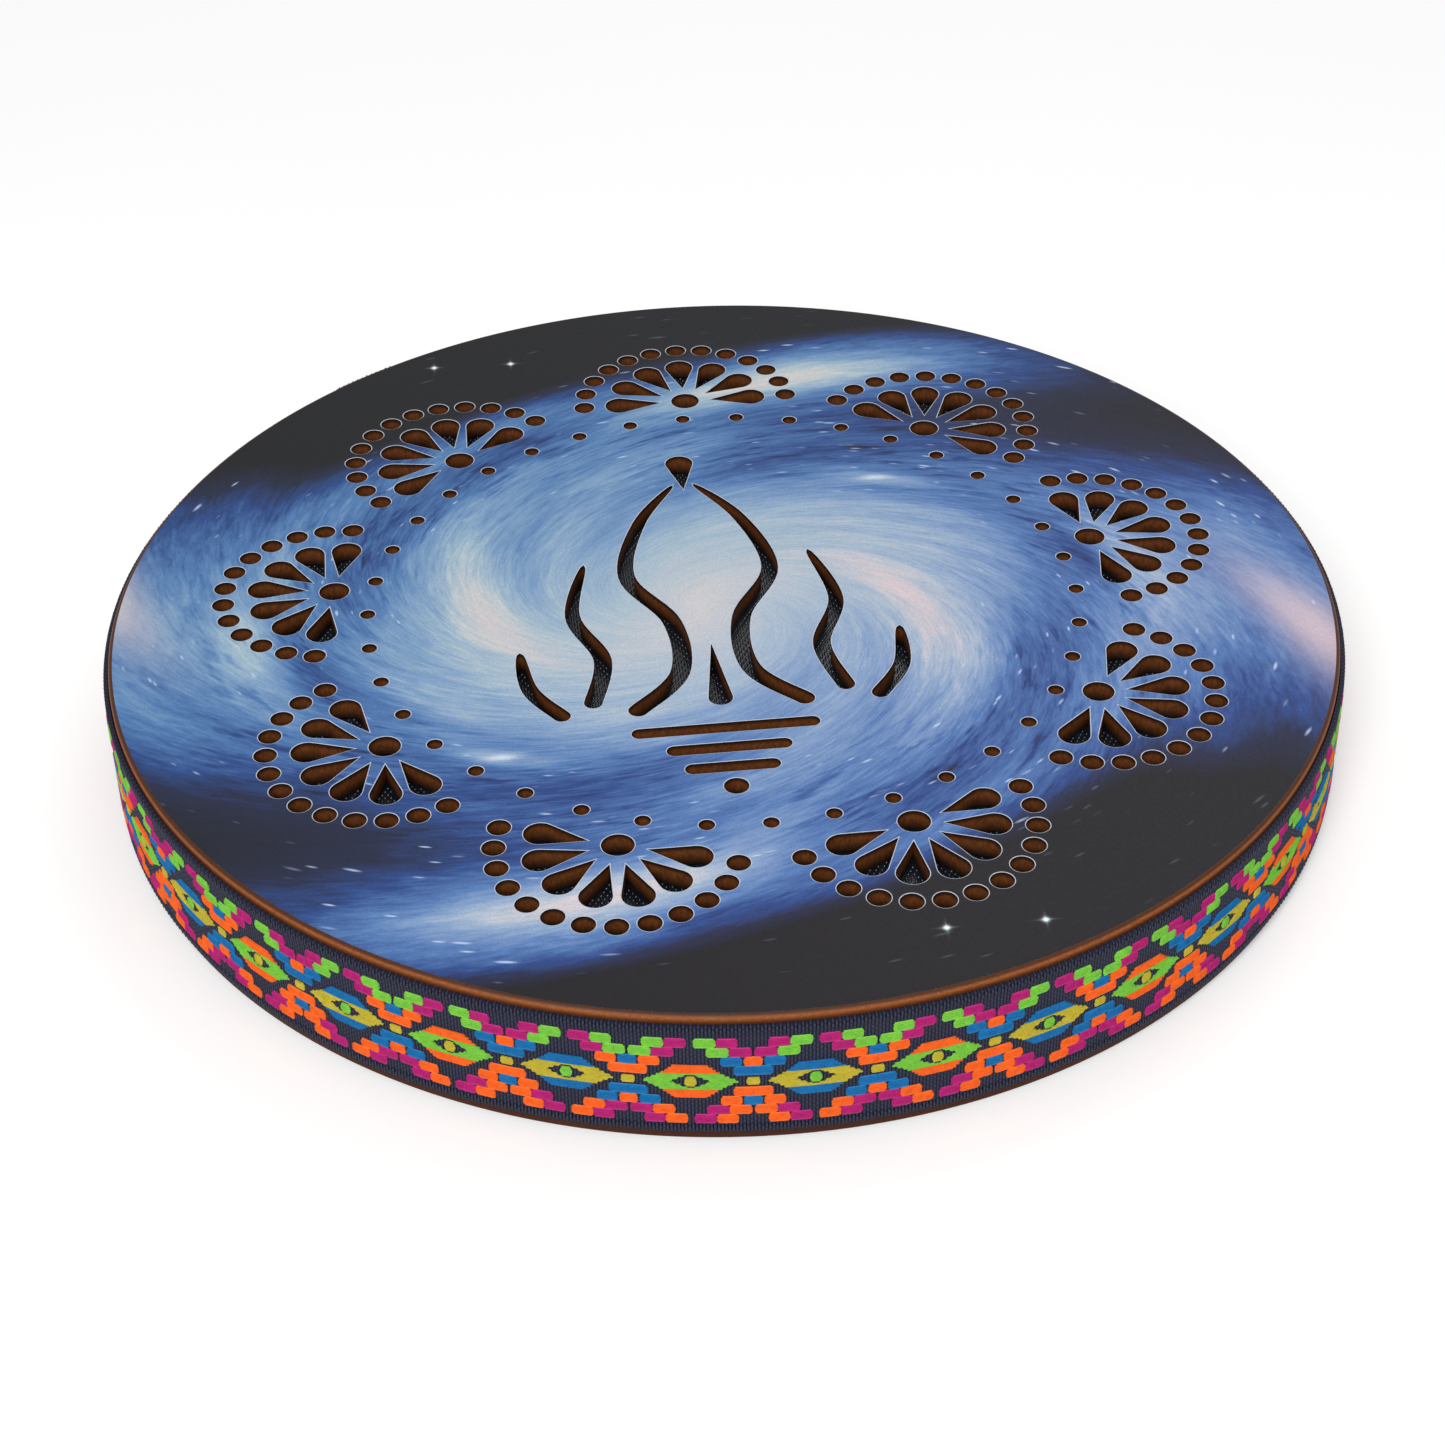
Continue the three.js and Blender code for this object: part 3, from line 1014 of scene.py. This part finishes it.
def ribbed_strip(settings, radius, base, top, start, ribs, closed):
    """A strip bent round the drum, with a given number of ribs across it, from an azimuth on.

    It is closed on itself, as one turn of equal repeats, or has an end at each side.
    """
    rib_angle = FULL_TURN / (settings.repeats * settings.ribs)
    swept_ribs = settings.ribs if closed else ribs
    inner = radius - RIBBON_THICKNESS
    face = radius - settings.rib_depth
    lip = 0.5 * MM
    section = (
        (inner, base), (face, base), (face, base + lip),
        (face, top - lip), (face, top), (inner, top),
    )
    bm = bmesh.new()
    turn = Matrix.Rotation(start, 3, "Z")
    corners = [bm.verts.new(turn @ Vector((reach, 0, height))) for reach, height in section]
    edges = [bm.edges.new(pair) for pair in zip(corners, corners[1:] + corners[:1])]
    swept = bmesh.ops.spin(
        bm, geom=corners + edges, cent=(0, 0, 0), axis=UP, angle=swept_ribs * rib_angle,
        steps=swept_ribs * STEPS_PER_RIB, use_merge=False, use_normal_flip=False,
        use_duplicate=False,
    )
    for vertex in bm.verts:
        if vertex.co.xy.length > face - 0.01 * MM:
            across = (math.atan2(vertex.co.y, vertex.co.x) - start) / rib_angle
            crown = abs(math.sin(math.pi * across)) ** 0.7
            vertex.co.xy *= 1 + settings.rib_depth * crown / face
    if closed:
        repeat = bpy.data.meshes.new("ribbed_repeat")
        bm.to_mesh(repeat)
        bm.clear()
        turns = range(settings.repeats)
        copies(bm, repeat, [Matrix.Rotation(FULL_TURN * i / settings.repeats, 4, "Z") for i in turns])
        bmesh.ops.remove_doubles(bm, verts=bm.verts[:], dist=0.01 * MM)
    else:
        bm.faces.new(corners)
        last = [item for item in swept["geom_last"] if isinstance(item, bmesh.types.BMEdge)]
        bmesh.ops.edgenet_fill(bm, edges=last)
    bmesh.ops.recalc_face_normals(bm, faces=bm.faces[:])
    return bm


def lap_range():
    """The first and last azimuth of the ribbon's folded end."""
    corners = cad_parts["ribbon_lap"].data.vertices
    angles = [math.atan2(corner.co.y, corner.co.x) for corner in corners]
    return min(angles), max(angles)


STITCH_SIZE = (0.82 * MM, 2.7 * MM, 0.62 * MM)
STITCH_INSET = 1.4 * MM
STITCH_WAVE = 0.28 * MM
STITCH_SINK = 0.08 * MM


class OCEAN_DRUM_OT_ribbon(bpy.types.Operator):
    """Build the ribbed ground of the ribbon, its edge stitches and its folded end"""

    bl_idname = "ocean_drum.ribbon"
    bl_label = "Ribbon"

    def execute(self, context):
        settings = context.scene.drum_ribbon
        ground = ribbon_ground(settings)
        rib_count = settings.repeats * settings.ribs
        rib_angle = FULL_TURN / rib_count
        lap_start, lap_end = lap_range()

        band = ribbed_strip(
            settings, RIBBON_RADIUS, RIBBON_BASE, RIBBON_TOP, lap_end, rib_count, closed=True
        )
        band = new_piece("ribbon_ground", band, [ground], smooth_below=60)
        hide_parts("ribbon_band")

        lap_ribs = round((lap_end - lap_start) / rib_angle)
        lap = ribbed_strip(
            settings, LAP_RADIUS, RIBBON_BASE, RIBBON_TOP, lap_start, lap_ribs, closed=False
        )
        lap = new_piece("ribbon_fold", lap, [ground], smooth_below=60)
        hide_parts("ribbon_lap")

        edging = bmesh.new()
        chance = random.Random(7)
        stitch = grain_template(5, 0.2)
        places = []
        for i in range(rib_count):
            azimuth = lap_end + (i + 0.5) * rib_angle
            under_lap = lap_start < (azimuth - lap_start) % FULL_TURN + lap_start < lap_end
            radius = LAP_RADIUS if under_lap else RIBBON_RADIUS
            wave = STITCH_WAVE * (1 if i % 2 else -1)
            for level, side in ((RIBBON_TOP, -1), (RIBBON_BASE, 1)):
                height = level + side * (STITCH_INSET + wave) + chance.uniform(-0.08, 0.08) * MM
                places.append(on_rim(azimuth, height, radius - STITCH_SINK, *STITCH_SIZE))
        copies(edging, stitch, places)
        edging = new_piece("ribbon_selvedge", edging, [ground], smooth_below=80)

        return {"FINISHED"}


# ---- The woven pattern, in millimetres from the middle of a motif ----
THREADS_PER_ROW = 8
ROW_HEIGHT = 3.05
THREAD_PITCH = ROW_HEIGHT / THREADS_PER_ROW
LONGEST_FLOAT = 5.4
MOTIF_TURN = math.radians(-103.8)
PATTERN_DROP = 0.35
ROW_GAP = 1.95
EYE_HEIGHT = 5.4
CAP_LEVEL = 2.8
ALMOND_HEIGHT = 2.4
CORNER_ROUNDING = (0.42, 0.12)
EDGE_SINKING = (0.50, 0.84)


class Motif(NamedTuple):
    """The colours of one stepped motif, from its top row to its foot."""

    top_inner: str
    top_outer: str
    upper_sides: str
    upper_middle: str
    upper_block: str
    lower_block: str
    lower_sides: str
    lower_middle: str
    foot_inner: str
    foot_outer: str


class Eye(NamedTuple):
    """The colours of one eye between two motifs."""

    wings: str
    caps: str
    pupil: str


FIRST_MOTIF = Motif(
    "green", "magenta", "orange", "blue", "orange", "blue", "blue", "orange", "magenta", "orange"
)
SECOND_MOTIF = Motif(
    "magenta", "green", "blue", "orange", "blue", "orange", "orange", "blue", "orange", "magenta"
)
FIRST_EYE = Eye("green", "orange", "yellow")
SECOND_EYE = Eye("yellow", "blue", "green")


def block(colour_name, row, start, end):
    """The threads of a padded block in a row, as (colour, height, start, end, share of the rise)."""
    side = 1 if row > 0 else -1
    foot = ROW_GAP + (abs(row) - 1) * ROW_HEIGHT
    for i in range(THREADS_PER_ROW):
        from_edge = min(i, THREADS_PER_ROW - 1 - i)
        drawn_in = CORNER_ROUNDING[from_edge] if from_edge < len(CORNER_ROUNDING) else 0
        rise = EDGE_SINKING[from_edge] if from_edge < len(EDGE_SINKING) else 1
        height = side * (foot + (i + 0.5) * THREAD_PITCH)
        yield colour_name, height, start + drawn_in, end - drawn_in, rise


def motif_threads(motif):
    """Every thread of a motif; rows count up and down from the middle."""
    mirrored = [
        (motif.top_inner, 4, 3.7, 9.05), (motif.top_outer, 4, 9.05, 14.6),
        (motif.top_inner, 3, 0.35, 5.95), (motif.top_outer, 3, 5.95, 11.5),
        (motif.upper_sides, 2, 2.7, 8.0), (motif.lower_sides, -2, 2.7, 8.0),
        (motif.foot_inner, -3, 0.35, 5.95), (motif.foot_outer, -3, 5.95, 11.5),
        (motif.foot_inner, -4, 3.7, 9.05), (motif.foot_outer, -4, 9.05, 14.6),
    ]
    for name, row, start, end in mirrored:
        yield from block(name, row, start, end)
        yield from block(name, row, -end, -start)
    yield from block(motif.upper_middle, 2, -2.3, 2.3)
    yield from block(motif.lower_middle, -2, -2.3, 2.3)
    yield from block(motif.upper_block, 1, -4.85, 4.85)
    yield from block(motif.lower_block, -1, -4.85, 4.85)
    for i in range(-3, 3):
        drawn_in = CORNER_ROUNDING[0] / 2 if i in (-3, 2) else 0
        yield "yellow", (i + 0.5) * THREAD_PITCH, drawn_in - 1.65, 1.65 - drawn_in, 0.9


def eye_threads(eye):
    """Every thread of an eye: pointed wings, two caps and a pupil in a dark almond."""
    threads = round(EYE_HEIGHT / THREAD_PITCH)
    for i in range(-threads, threads):
        height = (i + 0.5) * THREAD_PITCH
        level = abs(height)
        tooth = 0.22 if i % 2 else -0.22
        if level > CAP_LEVEL:
            half = 7.0 - 1.15 * (level - CAP_LEVEL) + tooth
            yield eye.caps, height, -half, half, 0.9
            continue
        tip = 7.2 + 4.6 * (1 - level / CAP_LEVEL) ** 1.2 + tooth
        gap = 5.1 * max(0.0, 1 - level / ALMOND_HEIGHT) ** 0.75 + tooth
        if level < ALMOND_HEIGHT:
            yield eye.wings, height, gap, tip, 0.9
            yield eye.wings, height, -tip, -gap, 0.9
        else:
            yield eye.wings, height, -tip, tip, 0.9
        if level < 1.5:
            half = 1.5 * math.sqrt(1 - (level / 1.8) ** 2)
            yield eye.pupil, height, -half, half, 1.0


def pattern_threads():
    """One repeat of the pattern: every thread, with its quarter of the repeat."""
    figures = (
        motif_threads(FIRST_MOTIF), eye_threads(FIRST_EYE),
        motif_threads(SECOND_MOTIF), eye_threads(SECOND_EYE),
    )
    for quarter, figure in enumerate(figures):
        for thread in figure:
            yield (*thread, quarter)


class OCEAN_DRUM_OT_ribbon_pattern(bpy.types.Operator):
    """Weave the coloured pattern threads over the ribbon, one piece for each colour"""

    bl_idname = "ocean_drum.ribbon_pattern"
    bl_label = "Ribbon Pattern"

    def execute(self, context):
        settings = context.scene.drum_ribbon
        quarter_turn = FULL_TURN / settings.repeats / 4
        middle = (RIBBON_BASE + RIBBON_TOP) / 2 - PATTERN_DROP * MM
        lap_start, lap_end = lap_range()
        chance = random.Random(11)
        places = {}
        for repeat in range(settings.repeats):
            for name, height, start, end, share, quarter in pattern_threads():
                azimuth = MOTIF_TURN + (4 * repeat + quarter) * quarter_turn
                pieces = max(1, math.ceil((end - start) / LONGEST_FLOAT))
                for i in range(pieces):
                    first = start + (end - start) * i / pieces + chance.uniform(-0.1, 0.1)
                    last = start + (end - start) * (i + 1) / pieces + chance.uniform(-0.1, 0.1)
                    spot = azimuth + (first + last) / 2 * MM / RIBBON_RADIUS
                    over_lap = (spot - lap_start) % FULL_TURN < lap_end - lap_start
                    radius = LAP_RADIUS if over_lap else RIBBON_RADIUS
                    places.setdefault(name, []).append(on_rim(
                        spot, middle + height * MM, radius - 0.05 * MM,
                        (last - first) * MM, 1.3 * THREAD_PITCH * MM,
                        2 * settings.thread_rise * share * chance.uniform(0.95, 1.05),
                        chance.uniform(-0.008, 0.008),
                    ))
        thread = grain_template(5, 0.08)
        for name, spots in places.items():
            bm = bmesh.new()
            copies(bm, thread, spots)
            material = satin_thread(f"{name}_thread", getattr(settings, name))
            new_piece(f"pattern_{name}", bm, [material], smooth_below=80)
        return {"FINISHED"}


class OCEAN_DRUM_OT_shot(bpy.types.Operator):
    """Build the smooth steel shot, one piece for each group that moves together"""

    bl_idname = "ocean_drum.shot"
    bl_label = "Shot"

    def execute(self, context):
        steel = polished_steel()
        for group in ("orbit", "lead", "rear", "front"):
            nodes = sorted(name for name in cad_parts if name.startswith(f"shot_{group}"))
            bm = bmesh.new()
            for node in nodes:
                low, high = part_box(node)
                bmesh.ops.create_uvsphere(
                    bm, u_segments=24, v_segments=14, radius=(high.z - low.z) / 2,
                    matrix=Matrix.Translation((low + high) / 2),
                )
            balls = new_piece(f"{group}_balls", bm, [steel], f"{group}_shot", 60)
            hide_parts(*nodes)
        return {"FINISHED"}


SKY_STRENGTH = 0.46
LIGHTS = (
    ("key_light", (-0.45, -1.7, 1.7), 1.3, 43),
    ("rear_light", (0.8, 1.6, 1.9), 1.6, 10),
)
CAMERA_AIM = (-6.27 * MM, -57.57 * MM)


class OCEAN_DRUM_OT_stage(bpy.types.Operator):
    """Set up the pale floor, the soft lights and the camera"""

    bl_idname = "ocean_drum.stage"
    bl_label = "Stage"

    def execute(self, context):
        settings = context.scene.drum_stage
        scene = context.scene
        scene.view_settings.view_transform = "Standard"
        self.add_floor()
        self.add_sky(scene)
        for light in LIGHTS:
            self.add_light(*light)
        self.add_camera(scene, settings)
        return {"FINISHED"}

    def add_floor(self):
        bm = bmesh.new()
        bmesh.ops.create_grid(
            bm, x_segments=8, y_segments=8, size=6,
            matrix=Matrix.Translation(UP * (BOTTOM_BASE - 0.2 * MM)),
        )
        floor = new_piece("floor", bm, [pale_floor()], body=None)
        floor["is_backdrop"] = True

    def add_sky(self, scene):
        world = bpy.data.worlds.new("soft_room")
        scene.world = world
        world.use_nodes = True
        background = world.node_tree.nodes["Background"]
        background.inputs["Color"].default_value = (1, 1, 1, 1)
        background.inputs["Strength"].default_value = SKY_STRENGTH

    def add_light(self, name, location, size, power):
        light = bpy.data.lights.new(name, "AREA")
        light.shape = "DISK"
        light.size = size
        light.energy = power
        lamp = bpy.data.objects.new(name, light)
        lamp.location = location
        aim = Vector(location) - Vector((0, 0, 0.02))
        lamp.rotation_euler = aim.to_track_quat("Z", "Y").to_euler()
        bpy.context.scene.collection.objects.link(lamp)

    def add_camera(self, scene, settings):
        aim = Vector((*CAMERA_AIM, BOARD_TOP))
        level = math.cos(settings.camera_elevation)
        away = Vector((
            math.sin(settings.camera_turn) * level,
            -math.cos(settings.camera_turn) * level,
            math.sin(settings.camera_elevation),
        ))
        data = bpy.data.cameras.new("camera")
        data.angle = settings.field_of_view
        camera = bpy.data.objects.new("camera", data)
        turn = away.to_track_quat("Z", "Y").to_matrix().to_4x4()
        roll = Matrix.Rotation(settings.camera_roll, 4, "Z")
        camera.matrix_world = Matrix.Translation(aim + away * settings.camera_distance) @ turn @ roll
        scene.collection.objects.link(camera)
        scene.camera = camera


class OCEAN_DRUM_PT_panel(bpy.types.Panel):
    """Lists the steps that build the drum"""

    bl_label = "Ocean Drum"
    bl_idname = "OCEAN_DRUM_PT_panel"
    bl_space_type = "VIEW_3D"
    bl_region_type = "UI"
    bl_category = "Drum"

    def draw(self, context):
        for operator in OPERATORS:
            self.layout.operator(operator.bl_idname)


OPERATORS = (
    OCEAN_DRUM_OT_top_board,
    OCEAN_DRUM_OT_bottom_board,
    OCEAN_DRUM_OT_hoop,
    OCEAN_DRUM_OT_grille_cloth,
    OCEAN_DRUM_OT_ribbon,
    OCEAN_DRUM_OT_ribbon_pattern,
    OCEAN_DRUM_OT_shot,
    OCEAN_DRUM_OT_stage,
)
SETTINGS = {
    "drum_boards": BoardSettings,
    "drum_ribbon": RibbonSettings,
    "drum_cloth": ClothSettings,
    "drum_stage": StageSettings,
}


def register():
    for group in SETTINGS.values():
        bpy.utils.register_class(group)
    for name, group in SETTINGS.items():
        setattr(bpy.types.Scene, name, PointerProperty(type=group))
    for operator in OPERATORS:
        bpy.utils.register_class(operator)
    bpy.utils.register_class(OCEAN_DRUM_PT_panel)


def unregister():
    bpy.utils.unregister_class(OCEAN_DRUM_PT_panel)
    for operator in reversed(OPERATORS):
        bpy.utils.unregister_class(operator)
    for name in SETTINGS:
        delattr(bpy.types.Scene, name)
    for group in SETTINGS.values():
        bpy.utils.unregister_class(group)


def main():
    register()
    bpy.ops.ocean_drum.top_board()
    bpy.ops.ocean_drum.bottom_board()
    bpy.ops.ocean_drum.hoop()
    bpy.ops.ocean_drum.grille_cloth()
    bpy.ops.ocean_drum.ribbon()
    bpy.ops.ocean_drum.ribbon_pattern()
    bpy.ops.ocean_drum.shot()
    bpy.ops.ocean_drum.stage()
    boxes = {"cad": CAD_BOX, "visual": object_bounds()}
    as_lists = {name: [list(corner) for corner in box] for name, box in boxes.items()}


if __name__ == "__main__":
    main()
